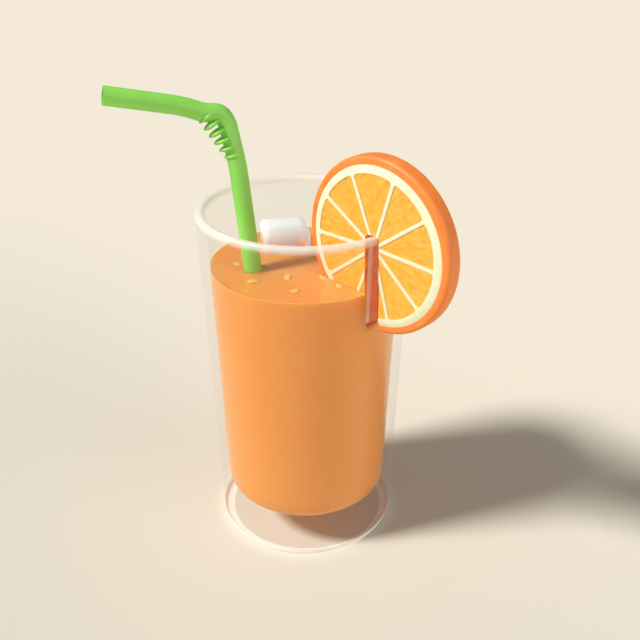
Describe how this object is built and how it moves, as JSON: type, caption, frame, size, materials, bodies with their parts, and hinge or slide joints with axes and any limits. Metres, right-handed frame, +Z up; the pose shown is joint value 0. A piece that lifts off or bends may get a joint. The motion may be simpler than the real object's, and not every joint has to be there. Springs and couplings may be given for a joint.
{
  "type": "glass of orange juice",
  "caption": "Tall tapered glass of orange juice with an ice cube, a bent drinking straw and an orange wheel slotted on the rim.",
  "frame": {"origin": "centre of the glass's underside, on the surface it stands on", "axes": "+Z up along the glass's axis; the front is -Y, the straw's spout points towards -X and the orange wheel sits at the front right"},
  "size_m": [0.1238, 0.0969, 0.1906],
  "materials": {
    "glass": "clear",
    "juice": "wet",
    "straw": "gloss",
    "orange_slice": "moist",
    "ice_cube": "frosted"
  },
  "bodies": {
    "root": {"glass": "glass", "juice": "juice", "straw": "straw", "orange_slice": "orange_slice", "ice_cube": "ice_cube"}
  },
  "joints": []
}
